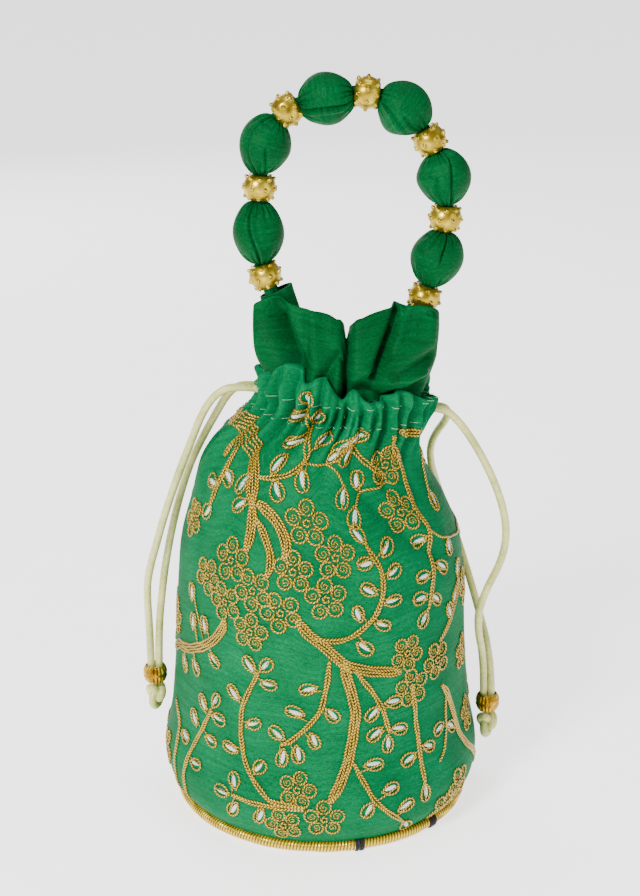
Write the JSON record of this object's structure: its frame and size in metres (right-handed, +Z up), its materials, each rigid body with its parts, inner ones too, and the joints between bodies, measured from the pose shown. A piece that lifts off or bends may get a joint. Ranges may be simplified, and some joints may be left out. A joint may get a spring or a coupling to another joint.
{
  "type": "drawstring gift sack",
  "caption": "Round-based fabric drawstring gift sack with a gathered neck, embroidered wall, ruffled top, two corded pulls and a beaded arch handle.",
  "frame": {"origin": "centre of the round base's underside, on the surface it rests on", "axes": "+X towards the right cord exit, +Y towards the back, +Z up through the neck and handle"},
  "size_m": [0.1521, 0.1322, 0.3038],
  "materials": {
    "silk_green": "satin, dupion weave",
    "silk_dark_green": "satin, dupion weave",
    "lining_cloth": "matt plain weave",
    "board": "matt",
    "zari_gold": "metallic thread",
    "zari_silver": "satin stitch",
    "black_thread": "matt",
    "pale_thread": "satin",
    "satin_cord": "satin",
    "filling": "soft fibre",
    "gold_bead": "metallised gold"
  },
  "bodies": {
    "sack": {"outer_shell": "silk_green", "lining": "lining_cloth", "top_ruffle": "silk_dark_green", "casing_stitches": "pale_thread", "base_cover": "silk_dark_green", "base_board": "board", "base_lining": "lining_cloth", "base_piping_braid": "zari_gold", "base_piping_core": "filling", "piping_ties": "black_thread", "left_cord_run": "satin_cord", "right_cord_run": "satin_cord", "left_tab_anchor": "silk_dark_green", "right_tab_anchor": "silk_dark_green"},
    "handle": {"handle_sleeve": "silk_dark_green", "left_handle_tab": "silk_dark_green", "right_handle_tab": "silk_dark_green", "handle_filler_1": "filling", "handle_filler_2": "filling", "handle_filler_3": "filling", "handle_filler_4": "filling", "handle_filler_5": "filling", "handle_filler_6": "filling"},
    "gold_bead_1": {"handle_bead_1": "gold_bead"},
    "gold_bead_2": {"handle_bead_2": "gold_bead"},
    "gold_bead_3": {"handle_bead_3": "gold_bead"},
    "gold_bead_4": {"handle_bead_4": "gold_bead"},
    "gold_bead_5": {"handle_bead_5": "gold_bead"},
    "gold_bead_6": {"handle_bead_6": "gold_bead"},
    "gold_bead_7": {"handle_bead_7": "gold_bead"},
    "left_pull": {"left_tail_front": "satin_cord", "left_tail_rear": "satin_cord", "left_end_knot": "satin_cord"},
    "left_pull_bead": {"left_drawstring_bead": "gold_bead"},
    "right_pull": {"right_tail_front": "satin_cord", "right_tail_rear": "satin_cord", "right_end_knot": "satin_cord"},
    "right_pull_bead": {"right_drawstring_bead": "gold_bead"}
  },
  "joints": [
    {"name": "handle_swing", "type": "hinge", "parent": "sack", "child": "handle", "pos_m": [-0.0125, 0, 0.21], "axis": [0.9924, 0, -0.1228], "range_deg": [-36, 0]},
    {"name": "gold_bead_1_spin", "type": "hinge", "parent": "handle", "child": "gold_bead_1", "pos_m": [-0.0222, 0, 0.2244], "axis": [-0.3657, 0, 0.9307], "continuous": true},
    {"name": "gold_bead_2_spin", "type": "hinge", "parent": "handle", "child": "gold_bead_2", "pos_m": [-0.024, 0, 0.2595], "axis": [0.0814, 0, 0.9967], "continuous": true},
    {"name": "gold_bead_3_spin", "type": "hinge", "parent": "handle", "child": "gold_bead_3", "pos_m": [-0.0131, 0, 0.2893], "axis": [0.8158, 0, 0.5783], "continuous": true},
    {"name": "gold_bead_4_spin", "type": "hinge", "parent": "handle", "child": "gold_bead_4", "pos_m": [0.0173, 0, 0.2959], "axis": [0.9932, 0, -0.1166], "continuous": true},
    {"name": "gold_bead_5_spin", "type": "hinge", "parent": "handle", "child": "gold_bead_5", "pos_m": [0.0415, 0, 0.2778], "axis": [0.5174, 0, -0.8558], "continuous": true},
    {"name": "gold_bead_6_spin", "type": "hinge", "parent": "handle", "child": "gold_bead_6", "pos_m": [0.0482, 0, 0.2474], "axis": [-0.0653, 0, -0.9979], "continuous": true},
    {"name": "gold_bead_7_spin", "type": "hinge", "parent": "handle", "child": "gold_bead_7", "pos_m": [0.0406, 0, 0.2155], "axis": [-0.3214, 0, -0.947], "continuous": true},
    {"name": "left_pull_swing", "type": "hinge", "parent": "sack", "child": "left_pull", "pos_m": [-0.02868, 0, 0.17841], "axis": [0, 1, 0], "range_deg": [0, 40]},
    {"name": "left_bead_slide", "type": "slide", "parent": "left_pull", "child": "left_pull_bead", "axis": [0, 0, 1], "range_m": [0, 0.005]},
    {"name": "right_pull_swing", "type": "hinge", "parent": "sack", "child": "right_pull", "pos_m": [0.04568, 0, 0.16959], "axis": [0, -1, 0], "range_deg": [0, 40]},
    {"name": "right_bead_slide", "type": "slide", "parent": "right_pull", "child": "right_pull_bead", "axis": [0, 0, 1], "range_m": [0, 0.005]}
  ]
}
